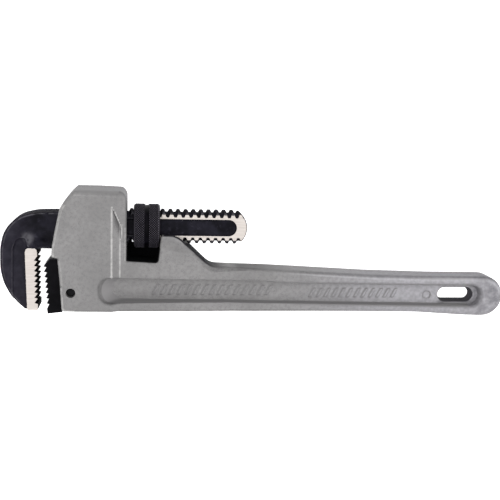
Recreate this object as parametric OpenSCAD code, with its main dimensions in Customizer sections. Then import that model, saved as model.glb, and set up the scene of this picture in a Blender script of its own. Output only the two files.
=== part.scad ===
// Straight pipe wrench with a cast light-alloy body, a forged hook jaw and a renewable heel jaw.
// The wrench lies on its side: X runs along the handle with the jaws at -X, Y runs across it
// with the threaded shank at +Y, and Z is the thickness, with the lower cheek on Z = 0.

/* [Overall] */
// overall length with the jaws nearly shut
total_length = 350; // [345:1:355]
// overall thickness over the two cheeks of the housing
total_thick = 36; // [34:0.5:40]
// height of the housing roof above the row's middle line
roof_y = 43; // [41:0.5:45]

/* [Housing] */
// where the housing ends and the nut window starts
housing_back_x = -91.5; // [-93:0.5:-90]
// front of the housing beside the shank channel
housing_nose_x = -140.7; // [-142:0.1:-139]
// underside of the housing
housing_base_y = -38.6; // [-39.5:0.1:-38]
// how far the roof's edge bevels reach into its width
roof_bevel = 2.6; // [1.5:0.1:4]
// how far the roof's edge bevels reach down the cheeks
roof_bevel_drop = 5.4; // [2:0.1:7]
// bevel on the front edges of the cheeks
front_bevel = 1.5; // [0.5:0.1:2.5]
// depth of the finger relief beside the nut window
relief_depth = 3.5; // [2:0.5:5]
// wall of the shank channel below the shank
channel_floor_y = 0.4; // [0:0.1:1]
// roof of the shank channel, above the leaf spring
channel_roof_y = 34.8; // [34:0.1:35.5]
// width of the shank channel
channel_width = 21.8; // [21:0.1:23]

/* [Handle] */
// thickness of the handle flanges
handle_thick = 22; // [20:0.5:24]
// thickness of the web between the flanges
web_thick = 8; // [6:0.5:10]
// thickness of the hump at its front wall
hump_thick = 27; // [25:0.5:29]
// width of the shank groove in the hump
hump_groove = 15.6; // [15:0.1:17]
// floor of the nut window
window_floor_y = -3.7; // [-5:0.1:-3]
// top of the low wall that closes the window behind the nut
back_wall_top_y = 4; // [3:0.1:4.5]
// how far that wall reaches towards the middle
back_wall_z = 9; // [7:0.1:10]
// radius of the rounded tail
tail_r = 14.4; // [13.5:0.1:15]
// length of the hanging slot
slot_length = 24.5; // [23:0.1:28]
// width of the hanging slot
slot_width = 9; // [8.5:0.1:11]

/* [Hook jaw] */
// height of the shank axis above the row's middle line
shank_y = 17.8; // [17.5:0.1:19]
// outer radius of the thread
thread_crest_r = 11.7; // [11.2:0.1:12.2]
// radius at the bottom of the thread
thread_root_r = 9.75; // [9.2:0.05:10.2]
// thread pitch
thread_pitch = 5.2; // [5:0.05:5.6]
// thickness of the shank across its ground flats
shank_thick = 14; // [13:0.5:15]
// thickness of the forged hook and arm
hook_thick = 20; // [19:0.5:21]
// thickness of the ground tooth block
block_thick = 21; // [20:0.5:22]
// line of the hook jaw's tooth tips
hook_tip_x = -150.5; // [-151:0.1:-150]
// tooth pitch on both jaws
tooth_pitch = 3.62; // [3.4:0.01:3.9]
// depth of the teeth
tooth_depth = 1.9; // [1.5:0.1:2.2]

/* [Heel jaw] */
// thickness of the heel jaw's toothed head
heel_thick = 19; // [18:0.5:20]
// thickness of its tenon in the housing
tenon_thick = 14; // [12:0.5:15]
// radius of the pin hole through the cheeks
pin_hole_r = 3.15; // [3:0.05:3.3]

/* [Nut] */
// outer radius of the adjusting nut
nut_r = 15; // [14:0.1:15.2]
// width of the nut
nut_width = 17; // [16:0.1:17.5]
// left face of the nut
nut_x = -87.5; // [-88.5:0.1:-87]

/* [Springs] */
// thickness of the leaf spring
leaf_thick = 1; // [0.8:0.1:1.2]
// wire radius of the coil spring
wire_r = 0.7; // [0.6:0.05:0.9]
// mean radius of the coil spring
coil_r = 3.6; // [3.2:0.1:4]

/* [Hidden] */
$fn = 64;
mid_z = total_thick / 2;
tail_x = total_length / 2 - tail_r;
tail_y = -roof_y + tail_r;
hook_end_x = -total_length / 2;
slot_x = 140.2;
slot_y = -27.9;
pin_x = -128.4;
pin_y = -25.5;
coil_x = -113;
leaf_y = shank_y + thread_crest_r + 0.9;
rivet_x = -97.5;
first_hook_tip_y = -2.1;
hook_teeth = 9;
heel_teeth = 8;
heel_lean = 3.9;
shank_end_x = -10.7;
thread_start_x = -97;
last_crest_x = -16;

// points of an arc, for outlines
function arc(cx, cy, r, a0, a1, n) =
    [for (i = [0:n]) [cx + r * cos(a0 + (a1 - a0) * i / n), cy + r * sin(a0 + (a1 - a0) * i / n)]];

// a flat outline given thickness, centred on the middle plane
module plate(thick) {
    translate([0, 0, mid_z - thick / 2])
        linear_extrude(height = thick) children();
}

// ---------------------------------------------------------------- cast frame

module housing_outline() {
    polygon(concat(
        [[housing_back_x, housing_base_y],
         [housing_back_x, 38.5],
         [-93, 41.3],
         [-95.6, roof_y - 0.2],
         [-101, roof_y],
         [-122, roof_y],
         [-126.6, roof_y - 0.6],
         [-128.6, 40.6],
         [-135.2, 30.9],
         [-136.7, 24.4],
         [-138.6, 14.9],
         [-140.2, 5.6],
         [housing_nose_x, -1.2],
         [housing_nose_x + 0.8, -2.2]],
        [[-136.9, -2.4],
         [-135.6, -17.2],
         [-134.2, housing_base_y]]));
}

// outline of the housing seen from above, which gives the cheeks their end bevels
module housing_plan() {
    polygon([[-142, front_bevel + 1.2], [-139, 0], [-95, 0],
             [housing_back_x, 3.4], [housing_back_x, total_thick - 3.4],
             [-95, total_thick], [-139, total_thick],
             [-142, total_thick - front_bevel - 1.2]]);
}

// outline of the housing seen from its end, which gives the roof and base bevels
module housing_end() {
    b = roof_bevel;
    polygon([[roof_y - roof_bevel_drop, 0], [roof_y, b], [roof_y, total_thick - b],
             [roof_y - roof_bevel_drop, total_thick], [housing_base_y + 5, total_thick],
             [housing_base_y + 1.4, total_thick - 1.4], [housing_base_y, total_thick - 5],
             [housing_base_y, 5], [housing_base_y + 1.4, 1.4], [housing_base_y + 5, 0]]);
}

// slanting finger relief on one cheek, from the middle of the housing to the window
module finger_relief() {
    intersection() {
        translate([0, 40, 0])
            rotate([90, 0, 0])
            linear_extrude(height = 90)
            polygon([[-101.6, total_thick], [-96.5, total_thick - relief_depth],
                     [-85, total_thick - relief_depth], [-85, total_thick + 2],
                     [-101.6, total_thick + 2]]);
        translate([0, 0, mid_z])
            linear_extrude(height = 30)
            polygon([[-101.7, -45], [-101.7, 32.3], [-96.5, 20.5], [-85, 18.5], [-85, -45]]);
    }
}

module housing_block() {
    difference() {
        intersection() {
            linear_extrude(height = total_thick) housing_outline();
            translate([0, 60, 0])
                rotate([90, 0, 0]) linear_extrude(height = 120) housing_plan();
            translate([-160, 0, 0])
                rotate([90, 0, 90]) linear_extrude(height = 80) housing_end();
        }
        finger_relief();
        translate([0, 0, total_thick]) mirror([0, 0, 1]) finger_relief();
    }
}

module handle_outline() {
    difference() {
        polygon(concat(
            [[-112, housing_base_y],
             [-76, -39],
             [-20, -39.6],
             [60, -39.9],
             [100, -40.2],
             [123, -40.9],
             [140, -41.9],
             [150, -42.6]],
            arc(tail_x, tail_y, tail_r, -90, 90, 28),
            [[125, -14.2],
             [102, -13.9],
             [76, -13.2],
             [51, -12.2],
             [26, -10.9],
             [-7, -9.6],
             [-25, -8.9]],
            arc(-29, 3.1, 12, 268, 225, 8),
            [[-55.5, 10]],
            arc(-61.5, 4.7, 8.2, 45, 90, 6),
            [[-69, 13],
             [-69.6, 12.6],
             [-71.9, window_floor_y],
             [-112, window_floor_y]]));
    }
}

// outline of the handle seen from above: thick at the hump, thinner along the handle
module handle_plan() {
    h = hump_thick / 2;
    t = handle_thick / 2;
    polygon([[-112, mid_z - h - 1], [-94, mid_z - h - 0.9], [-70, mid_z - h], [-44, mid_z - h + 1],
             [-24, mid_z - t], [170, mid_z - t], [173.5, mid_z - t + 1.6],
             [175.5, mid_z - t + 5], [175.5, mid_z + t - 5],
             [173.5, mid_z + t - 1.6], [170, mid_z + t],
             [-24, mid_z + t], [-44, mid_z + h - 1], [-70, mid_z + h], [-94, mid_z + h + 0.9],
             [-112, mid_z + h + 1]]);
}

// pocket outline of the I-section, at the given inset from its rim
module pocket_outline(inset) {
    polygon(concat(
        arc(-101.5 + inset, -24.4, 8.7 - inset, 270, 90, 14),
        [[-42, -16.5 - inset],
         [0, -17.1 - inset],
         [31, -18.6 - inset],
         [60, -19.2 - inset],
         [120, -19.5 - inset]],
        arc(150 - inset, -27.9, 8.2 - inset, 85, -85, 14),
        [[120, -35.1 + inset],
         [58, -34.2 + inset],
         [0, -33.5 + inset],
         [-42, -33.2 + inset]]));
}

module pocket_side() {
    floor_z = mid_z + web_thick / 2;
    translate([0, 0, floor_z]) linear_extrude(height = 1.5) pocket_outline(1.2);
    translate([0, 0, floor_z + 1.4]) linear_extrude(height = 20) pocket_outline(0);
}

module handle_bar() {
    difference() {
        intersection() {
            linear_extrude(height = total_thick) handle_outline();
            translate([0, 60, 0])
                rotate([90, 0, 0]) linear_extrude(height = 120) handle_plan();
        }
        // groove that lets the threaded shank pass over the hump
        plate(hump_groove)
            polygon([[-75, 4.2], [-30, 4.2], [-30, 20], [-75, 20]]);
        // shallow round recess in the hump's wall for the lower edge of the nut
        intersection() {
            translate([-73, shank_y, mid_z])
                rotate([0, 90, 0]) cylinder(r = nut_r + 0.8, h = 3.2);
            plate(22) translate([-75, -10]) square([10, 40]);
        }
    }
    // low wall that closes the window behind the nut
    intersection() {
        linear_extrude(height = back_wall_z)
            polygon([[-92.5, window_floor_y - 2], [-92.5, back_wall_top_y + 3],
                     [-88.8, back_wall_top_y + 3], [-88.8, back_wall_top_y],
                     [-69.8, back_wall_top_y], [-70.2, window_floor_y - 2]]);
        translate([0, 60, 0])
            rotate([90, 0, 0]) linear_extrude(height = 120) handle_plan();
    }
}

module handle_frame() {
    color([0.68, 0.67, 0.68])
    difference() {
        union() {
            housing_block();
            handle_bar();
        }
        pocket_side();
        translate([0, 0, total_thick]) mirror([0, 0, 1]) pocket_side();
        // hanging slot through the web
        translate([0, 0, -1]) linear_extrude(height = total_thick + 2) {
            translate([slot_x, slot_y])
                square([slot_length - slot_width, slot_width], center = true);
            for (s = [-1, 1])
                translate([slot_x + s * (slot_length - slot_width) / 2, slot_y])
                    circle(r = slot_width / 2);
        }
        // shank channel through the housing
        plate(channel_width)
            polygon([[-150, channel_floor_y], [-85, channel_floor_y + 0.4],
                     [-85, channel_roof_y - 1], [-100, channel_roof_y - 1],
                     [-150, channel_roof_y]]);
        // seat of the heel jaw
        plate(tenon_thick + 0.1)
            polygon([[-150, -5.9], [-121.9, -5.9], [-121.9, -34.1], [-150, -34.1]]);
        // pocket of the coil spring
        translate([coil_x, -13.5, mid_z])
            rotate([-90, 0, 0]) cylinder(r = coil_r + wire_r + 0.4, h = 15);
        // blind hole of the spring rivet
        translate([rivet_x, channel_roof_y - 3, mid_z])
            rotate([-90, 0, 0]) cylinder(r = 2.4, h = 8.6);
        // pin hole through both cheeks
        translate([pin_x, pin_y, -1]) cylinder(r = pin_hole_r, h = total_thick + 2);
    }
}

// ---------------------------------------------------------------- jaws

// tooth line of the hook jaw: each tooth has its tip at the top and a long lower flank
function hook_tooth_points() =
    [for (i = [0:hook_teeth - 1], k = [0, 1])
        k == 0 ? [hook_tip_x, first_hook_tip_y - i * tooth_pitch]
               : [hook_tip_x - tooth_depth, first_hook_tip_y - i * tooth_pitch - tooth_pitch * 0.82]];

module hook_outline() {
    polygon(concat(
        [[-128, 27.3],
         [-139, 27.1],
         [-149, 27]],
        arc(-150, -6.9, 34, 92, 118, 6),
        arc(-140.6, 3, 34.4, 150, 172, 6),
        arc(-120, -4, 55, 176, 190, 5),
        [[-171.9, -22.5],
         [-168.7, -28.5],
         [-164.4, -34],
         [-160.2, -38.2],
         [-158.6, -38.9],
         [-152.4, -38.9]],
        [for (i = [len(hook_tooth_points()) - 1:-1:0]) hook_tooth_points()[i]],
        [[-150.9, 1.6],
         [-149.8, 3],
         [-146.6, 2.8],
         [-128, 2.6]]));
}

// thread rings of one pitch each; the lower half is offset by half a pitch
module thread_rings(shift) {
    p = thread_pitch;
    w = thread_crest_r - thread_root_r;
    translate([0, shank_y, mid_z]) rotate([0, 90, 0])
        rotate_extrude()
        polygon(concat(
            [[0, thread_start_x - 4], [thread_root_r, thread_start_x - 4]],
            [for (i = [15:-1:0], k = [0:3])
                [k == 1 || k == 2 ? thread_crest_r : thread_root_r,
                 last_crest_x + shift - i * p + [-0.42, -0.15, 0.15, 0.42][k] * p]],
            [[thread_root_r, shank_end_x + 2], [0, shank_end_x + 2]]));
}

module shank() {
    intersection() {
        union() {
            intersection() {
                thread_rings(0);
                translate([-110, shank_y, -5]) cube([110, 20, 50]);
            }
            intersection() {
                thread_rings(thread_pitch / 2);
                translate([-110, shank_y - 20, -5]) cube([110, 20, 50]);
            }
        }
        plate(shank_thick) union() {
            translate([-110, shank_y - 15]) square([85.8, 30]);
            translate([-24.2, shank_y]) circle(r = 13.5);
        }
    }
}

module hook_jaw() {
    color([0.15, 0.14, 0.18])
    difference() {
        union() {
            // forged hook and arm
            intersection() {
                plate(hook_thick) hook_outline();
                translate([0, 60, 0]) rotate([90, 0, 0]) linear_extrude(height = 120)
                    polygon([[-175.5, mid_z - hook_thick / 2 + 2.5],
                             [-172, mid_z - hook_thick / 2],
                             [-120, mid_z - hook_thick / 2], [-120, mid_z + hook_thick / 2],
                             [-172, mid_z + hook_thick / 2],
                             [-175.5, mid_z + hook_thick / 2 - 2.5]]);
            }
            // ground tooth block
            intersection() {
                plate(block_thick) hook_outline();
                translate([-158.5, -50, 0]) cube([9, 53.5, 50]);
            }
            // arm inside the housing, down to the thread
            plate(hook_thick)
                polygon([[-129, 2.6], [-112, 4], [-104, 6.6], [-97, 7], [-97, 27.9], [-129, 27.2]]);
            shank();
        }
        for (s = [-1, 1]) {
            // forged panel between the outer band and the tooth block
            translate([0, 0, mid_z + s * (hook_thick / 2 + 3.2)])
                linear_extrude(height = 9, center = true)
                polygon([[-158.6, -45], [-166.4, -45], [-166.4, -20], [-166, 2], [-163.6, 6.4],
                         [-160.6, 6.8], [-158.6, 4.4]]);
            // long forged recess in the ground flats of the shank
            translate([0, shank_y, mid_z + s * (shank_thick / 2 + 4)])
                linear_extrude(height = 10, center = true) {
                    translate([-93, -5.2]) square([69.5, 10.4]);
                    translate([-23.5, 0]) circle(r = 5.2);
                }
        }
    }
}

module heel_outline() {
    a = heel_lean;
    top = [-146.7, -9.3];
    polygon(concat(
        [[-137.2, -4],
         [-142.4, -4],
         [-144, -5.5]],
        [for (i = [0:heel_teeth - 1], k = [0, 1])
            k == 0
                ? [top[0] + i * tooth_pitch * tan(a), top[1] - i * tooth_pitch]
                : [top[0] + i * tooth_pitch * tan(a) + tooth_depth,
                   top[1] - i * tooth_pitch - 0.5]],
        [[top[0] + heel_teeth * tooth_pitch * tan(a), top[1] - heel_teeth * tooth_pitch],
         [-144.3, -41.7],
         [-134.6, -40.6]]));
}

module heel_jaw() {
    color([0.09, 0.085, 0.1])
    difference() {
        union() {
            plate(heel_thick) heel_outline();
            // tenon in the housing seat
            plate(tenon_thick)
                polygon([[-138, -6], [-122, -6], [-122, -34], [-135.7, -34]]);
        }
        translate([pin_x, pin_y, -1]) cylinder(r = pin_hole_r, h = total_thick + 2);
    }
}

module heel_jaw_pin() {
    color([0.2, 0.2, 0.22])
    translate([pin_x, pin_y, 3.5]) {
        cylinder(r = pin_hole_r - 0.05, h = total_thick - 7);
    }
}

// ---------------------------------------------------------------- nut and springs

module adjusting_nut() {
    w = nut_width;
    color([0.2, 0.19, 0.22])
    translate([nut_x, shank_y, mid_z]) rotate([0, 90, 0])
        rotate_extrude()
        polygon([[thread_crest_r + 0.3, 0.4], [thread_crest_r + 0.7, 0], [nut_r - 1.3, 0],
                 [nut_r, 1.3], [nut_r, w * 0.44], [nut_r - 0.8, w * 0.47],
                 [nut_r - 0.8, w * 0.55], [nut_r, w * 0.58], [nut_r, w - 1.3],
                 [nut_r - 1.3, w], [thread_crest_r + 0.7, w], [thread_crest_r + 0.3, w - 0.4]]);
}

// leaf spring: flat at the rivet, gently bowed towards the shank
module flat_spring() {
    t = leaf_thick;
    color([0.3, 0.31, 0.34])
    difference() {
        plate(12)
            polygon(concat(
                [for (i = [0:10]) [-94 - 38 * i / 10, leaf_y + 1.3 - 1.1 * sin(18 * i)]],
                [for (i = [10:-1:0]) [-94 - 38 * i / 10, leaf_y + 1.3 + t - 1.1 * sin(18 * i)]]));
        translate([rivet_x, leaf_y - 3, mid_z]) rotate([-90, 0, 0]) cylinder(r = 1.55, h = 10);
    }
}

module spring_rivet() {
    color([0.35, 0.35, 0.37])
    translate([rivet_x, leaf_y - 0.4, mid_z]) rotate([-90, 0, 0]) {
        cylinder(r = 2.1, h = 0.9);
        cylinder(r = 1.5, h = 7.6);
    }
}

// coil spring drawn as closed turns that touch along a spine of short risers
module coil_spring() {
    turns = 6;
    rise = 12.8 / turns;
    color([0.4, 0.41, 0.44])
    translate([coil_x, -13.5, mid_z]) rotate([-90, 0, 0]) {
        for (i = [0:turns])
            translate([0, 0, wire_r + 0.05 + i * rise])
                rotate_extrude() translate([coil_r, 0]) circle(r = wire_r, $fn = 20);
        translate([coil_r, 0, wire_r]) cylinder(r = wire_r * 0.7, h = turns * rise, $fn = 20);
    }
}

handle_frame();
heel_jaw();
heel_jaw_pin();
hook_jaw();
adjusting_nut();
flat_spring();
spring_rivet();
coil_spring();
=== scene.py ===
import math

import bpy
import numpy as np
from mathutils import Matrix, Vector


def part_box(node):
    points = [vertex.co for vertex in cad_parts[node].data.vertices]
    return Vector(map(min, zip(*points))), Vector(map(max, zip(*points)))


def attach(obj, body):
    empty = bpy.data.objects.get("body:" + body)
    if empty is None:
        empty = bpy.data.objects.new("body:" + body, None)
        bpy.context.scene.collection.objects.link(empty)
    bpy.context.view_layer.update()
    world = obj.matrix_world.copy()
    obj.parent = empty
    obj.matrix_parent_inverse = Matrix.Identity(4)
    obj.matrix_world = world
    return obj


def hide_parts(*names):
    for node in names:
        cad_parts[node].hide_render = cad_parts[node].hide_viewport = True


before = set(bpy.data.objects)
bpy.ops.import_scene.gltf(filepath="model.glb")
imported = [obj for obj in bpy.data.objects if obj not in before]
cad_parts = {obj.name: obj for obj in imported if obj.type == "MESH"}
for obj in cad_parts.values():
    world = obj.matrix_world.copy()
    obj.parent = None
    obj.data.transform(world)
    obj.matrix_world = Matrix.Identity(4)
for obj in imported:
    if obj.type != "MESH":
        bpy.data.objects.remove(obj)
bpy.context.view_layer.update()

# Shapes are written in millimetres in the row's frame and turned into metres when a mesh is made.
MM = 0.001


def node_box(node):
    """Lowest and highest corner of a CAD node, in millimetres."""
    low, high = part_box(node)
    return np.array(low) / MM, np.array(high) / MM


FRAME_LOW, FRAME_HIGH = node_box("handle_frame")
HOOK_LOW, HOOK_HIGH = node_box("hook_jaw")
NUT_LOW, NUT_HIGH = node_box("adjusting_nut")
HEEL_LOW, HEEL_HIGH = node_box("heel_jaw")
PIN_LOW, PIN_HIGH = node_box("heel_jaw_pin")

MID_Z = (FRAME_LOW[2] + FRAME_HIGH[2]) / 2
HALF_THICK = (FRAME_HIGH[2] - FRAME_LOW[2]) / 2
AXIS_Y = (NUT_LOW[1] + NUT_HIGH[1]) / 2
NUT_R = (NUT_HIGH[1] - NUT_LOW[1]) / 2
PIN_X, PIN_Y = (PIN_LOW[:2] + PIN_HIGH[:2]) / 2
PIN_HOLE_R = (PIN_HIGH[0] - PIN_LOW[0]) / 2 + 0.05

# ---------------------------------------------------------------- distance fields


def rounded(points, steps=6):
    """Closed outline from (x, y, corner radius) points: each corner becomes an arc."""
    outline = []
    count = len(points)
    for i, (x, y, radius) in enumerate(points):
        corner = np.array([x, y], float)
        before = np.array(points[i - 1][:2], float) - corner
        after = np.array(points[(i + 1) % count][:2], float) - corner
        len_before, len_after = np.linalg.norm(before), np.linalg.norm(after)
        before, after = before / len_before, after / len_after
        angle = math.acos(float(np.clip(before @ after, -1, 1)))
        if radius <= 0 or angle > 3.1:
            outline.append(corner)
            continue
        reach = min(radius / math.tan(angle / 2), 0.48 * len_before, 0.48 * len_after)
        radius = reach * math.tan(angle / 2)
        centre = corner + (before + after) / np.linalg.norm(before + after) * radius / math.sin(angle / 2)
        start = corner + before * reach - centre
        end = corner + after * reach - centre
        a0 = math.atan2(start[1], start[0])
        turn = (math.atan2(end[1], end[0]) - a0 + math.pi) % (2 * math.pi) - math.pi
        for k in range(steps + 1):
            a = a0 + turn * k / steps
            outline.append(centre + radius * np.array([math.cos(a), math.sin(a)]))
    return np.array(outline)


def outline_distance(outline, x, y):
    """Signed distance to a closed outline, negative inside."""
    best = np.full(np.broadcast(x, y).shape, 1e9)
    inside = np.zeros(best.shape, bool)
    for (ax, ay), (bx, by) in zip(outline, np.roll(outline, -1, axis=0)):
        ex, ey = bx - ax, by - ay
        px, py = x - ax, y - ay
        t = np.clip((px * ex + py * ey) / (ex * ex + ey * ey + 1e-12), 0, 1)
        best = np.minimum(best, (px - ex * t) ** 2 + (py - ey * t) ** 2)
        if ay != by:
            crosses = (ay > y) != (by > y)
            inside ^= crosses & (px < ex * py / ey)
    return np.sqrt(best) * np.where(inside, -1.0, 1.0)


def both(a, b, r=0.0):
    """Where a and b overlap, with the edge between them rounded to radius r."""
    if np.ndim(r) == 0 and r <= 0:
        return np.maximum(a, b)
    return np.minimum(-r, np.maximum(a, b)) + np.hypot(np.maximum(r + a, 0), np.maximum(r + b, 0))


def either(a, b, r=0.0):
    """a and b together, with a fillet of radius r between them."""
    return -both(-a, -b, r)


def without(a, b, r=0.0):
    """a with b cut out of it, with the edge of the cut rounded to radius r."""
    return both(a, -b, r)


def ease(t):
    """0 to 1 with rounded ends."""
    t = np.clip(t, 0, 1)
    return t * t * (3 - 2 * t)


def ridge(offset, width):
    """1 where offset is 0, falling off as a bell of the given width."""
    return np.exp(-((offset / width) ** 2))


def mound(x, y, middle_x, middle_y, reach_x, reach_y, power=1.0):
    """1 at the middle, falling off to 0 as an oval. A higher power gives it a flatter top."""
    return np.exp(-(((x - middle_x) / reach_x) ** 2 + ((y - middle_y) / reach_y) ** 2) ** power)


def plate(x, y, middle_x, half_x, middle_y, half_y):
    """Field of a rectangle in the plane of x and y."""
    return np.maximum(np.abs(x - middle_x) - half_x, np.abs(y - middle_y) - half_y)


# ---------------------------------------------------------------- meshes from fields

CORNERS = np.array([(i, j, k) for i in (0, 1) for j in (0, 1) for k in (0, 1)])
# how strongly a cell's vertex is held at the middle of its crossing points
CELL_PULL = 0.08
# an edge's wear comes from how much the field bends within this reach
WEAR_REACH, WEAR_GAIN = 0.9, 2.2


def gradient(field, p, h=0.02):
    """Outward unit normals of a field at points, and how fast it changes along them."""
    out = np.empty_like(p)
    for axis in range(3):
        step = np.zeros(3)
        step[axis] = h
        high, low = p + step, p - step
        out[:, axis] = field(*high.T) - field(*low.T)
    size = np.maximum(np.linalg.norm(out, axis=1), 1e-9)
    return out / size[:, None], size / (2 * h)


def contour(field, low, high, step):
    """Closed quad mesh of the field's zero level. Each cell's vertex lies where the surface's
    tangent planes meet, so flat faces stay flat and sharp edges stay sharp."""
    axes = [np.arange(low[i] - 1.5 * step, high[i] + 2.5 * step, step) for i in range(3)]
    shape = tuple(len(a) for a in axes)
    values = np.empty(shape, np.float32)
    y, z = axes[1][None, :, None], axes[2][None, None, :]
    for i in range(0, shape[0], 64):
        values[i : i + 64] = field(axes[0][i : i + 64, None, None], y, z)
    inside = values < 0
    mixed = np.zeros(tuple(n - 1 for n in shape), np.int8)
    for i, j, k in CORNERS:
        mixed += inside[i : shape[0] - 1 + i, j : shape[1] - 1 + j, k : shape[2] - 1 + k]
    cells = np.argwhere((mixed > 0) & (mixed < 8))
    index = np.full(mixed.shape, -1, np.int32)
    index[tuple(cells.T)] = np.arange(len(cells))
    origin = np.array([a[0] for a in axes])

    # crossing points of the grid edges, each found once and shared by its four cells
    quads = []
    ata = np.zeros((len(cells), 3, 3))
    atb = np.zeros((len(cells), 3))
    mass = np.zeros((len(cells), 3))
    number = np.zeros(len(cells))
    for axis in range(3):
        ahead = [slice(None)] * 3
        behind = [slice(None)] * 3
        ahead[axis], behind[axis] = slice(1, None), slice(None, -1)
        start = np.argwhere(inside[tuple(ahead)] != inside[tuple(behind)])
        u, v = (axis + 1) % 3, (axis + 2) % 3
        keep = (start[:, u] > 0) & (start[:, v] > 0)
        keep &= (start[:, u] < shape[u] - 1) & (start[:, v] < shape[v] - 1)
        start = start[keep]
        end = start.copy()
        end[:, axis] += 1
        va, vb = values[tuple(start.T)].astype(float), values[tuple(end.T)].astype(float)
        pa, pb = origin + start * step, origin + end * step
        for _ in range(2):
            t = np.clip(va / (va - vb), 0.02, 0.98)[:, None]
            point = pa + (pb - pa) * t
            vp = field(*point.T)
            same = (vp < 0) == (va < 0)
            pa, va = np.where(same[:, None], point, pa), np.where(same, vp, va)
            pb, vb = np.where(same[:, None], pb, point), np.where(same, vb, vp)
        t = (va / np.where(va == vb, 1, va - vb))[:, None]
        point = pa + (pb - pa) * np.clip(t, 0, 1)
        normal, _ = gradient(field, point)
        ring = []
        for du, dv in ((-1, -1), (0, -1), (0, 0), (-1, 0)):
            cell = start.copy()
            cell[:, u] += du
            cell[:, v] += dv
            ring.append(index[tuple(cell.T)])
        for cell in ring:
            np.add.at(ata, cell, normal[:, :, None] * normal[:, None, :])
            np.add.at(atb, cell, normal * (normal * point).sum(1)[:, None])
            np.add.at(mass, cell, point)
            np.add.at(number, cell, 1)
        ring = np.stack(ring, 1)
        leaving = inside[tuple(start.T)]
        ring[~leaving] = ring[~leaving][:, ::-1]
        quads.append(ring)
    mass /= np.maximum(number, 1)[:, None]
    ata += CELL_PULL * np.eye(3)
    atb += CELL_PULL * mass
    place = np.linalg.solve(ata, atb[:, :, None])[:, :, 0]
    cell_low = origin + cells * step
    place = np.clip(place, cell_low - 0.1 * step, cell_low + 1.1 * step)
    return place, np.concatenate(quads)


def mesh_object(name, verts, faces, sharp_angle=38):
    """Mesh object from millimetre vertices and a face array, smooth apart from its sharp edges."""
    mesh = bpy.data.meshes.new(name)
    size = faces.shape[1]
    mesh.vertices.add(len(verts))
    mesh.vertices.foreach_set("co", (np.asarray(verts) * MM).astype(np.float32).ravel())
    mesh.loops.add(faces.size)
    mesh.loops.foreach_set("vertex_index", faces.ravel().astype(np.int32))
    mesh.polygons.add(len(faces))
    mesh.polygons.foreach_set("loop_start", np.arange(0, faces.size, size, dtype=np.int32))
    mesh.update(calc_edges=True)
    mesh.validate()
    mesh.polygons.foreach_set("use_smooth", np.ones(len(faces), bool))
    mesh.set_sharp_from_angle(angle=math.radians(sharp_angle))
    obj = bpy.data.objects.new(name, mesh)
    bpy.context.scene.collection.objects.link(obj)
    return obj


def ring_faces(count, around):
    """Quads of a closed tube: count rings of around vertices, the last joined to the first."""
    i, j = np.meshgrid(np.arange(count), np.arange(around), indexing="ij")
    i1, j1 = (i + 1) % count, (j + 1) % around
    faces = np.stack([i * around + j, i * around + j1, i1 * around + j1, i1 * around + j], -1)
    return faces.reshape(-1, 4)


def store(obj, name, values):
    """Keeps one number for each vertex in a named attribute."""
    made = obj.data.attributes.new(name, "FLOAT", "POINT")
    made.data.foreach_set("value", values.astype(np.float32).ravel())


def field_object(name, field, low, high, step, wear_and_highlights=None, shade_painting=None):
    """Object from a distance field, with its convex edges marked in the attribute edge_wear_and_highlight.
    wear_and_highlights(bend, x, y) turns the sharpness of the edges into wear and painted highlights,
    and shade_painting(x, y) fills the attribute painted_shade with painted shade."""
    verts, faces = contour(field, low, high, step)
    verts = np.clip(verts, low, high)
    obj = mesh_object(name, verts, faces)
    count = len(obj.data.vertices)
    points = np.empty(count * 3, np.float32)
    obj.data.vertices.foreach_get("co", points)
    points = points.reshape(-1, 3).astype(float) / MM
    normal, pace = gradient(field, points)
    side = np.cross(normal, np.where(np.abs(normal[:, :1]) > 0.7, [[0.0, 1.0, 0.0]], [[1.0, 0.0, 0.0]]))
    side /= np.linalg.norm(side, axis=1)[:, None]
    across = np.cross(normal, side)
    around = [field(*(points + d * WEAR_REACH).T) for d in (side, -side, across, -across)]
    bend = sum(around) / (4 * WEAR_REACH * pace)
    bend = np.clip(bend * WEAR_GAIN, 0, 1)
    if wear_and_highlights:
        bend = np.clip(wear_and_highlights(bend, points[:, 0], points[:, 1]), 0, 1)
    store(obj, "edge_wear_and_highlight", bend)
    if shade_painting:
        store(obj, "painted_shade", shade_painting(points[:, 0], points[:, 1]))
    return obj


# ---------------------------------------------------------------- cast frame

HOUSING_BACK_X = -92.1
WINDOW_FLOOR_Y = -3.7
TAIL_R = 14.4
TAIL_X = FRAME_HIGH[0] - TAIL_R
TAIL_Y = FRAME_LOW[1] + TAIL_R
SLOT_X, SLOT_Y, SLOT_LENGTH, SLOT_WIDTH = 141.4, -28.4, 24.8, 9.2
# how much wider the slot gets on each side for each millimetre towards the photographed face
SLOT_DRAFT = 0.15
WEB_HALF = 4.0
# the low wall behind the nut and the higher step beside the housing: (middle X, half, middle Y, half)
WINDOW_WALL = (-81.6, 11.0, -1.5, 5.5)
WINDOW_STEP = (-90.7, 1.9, -1.0, 8.0)
BACK_WALL_Z = 9.0
# the way of the shank through the housing and over the hump, and the nut's recess in the hump
CHANNEL_HALF, CHANNEL_END_X = 10.9, -86.0
GROOVE_HALF, GROOVE_FLOOR_Y, GROOVE_START_X, GROOVE_END_X = 7.8, 4.2, -75, -30
NUT_RECESS_HALF, NUT_RECESS_X, NUT_RECESS_LONG, NUT_GAP = 11.0, -71.8, 2.0, 0.8
# holes inside the housing for the two springs' ends: X, radius, lowest and highest Y
COIL_X, COIL_HOLE_R, COIL_LOW_Y, COIL_HIGH_Y = -113.0, 4.7, -13.5, 1.5
RIVET_X, RIVET_HOLE_R, RIVET_LOW_Y, RIVET_HIGH_Y = -97.5, 2.4, 31.8, 40.4
SEAT_HALF = 7.05
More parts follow.
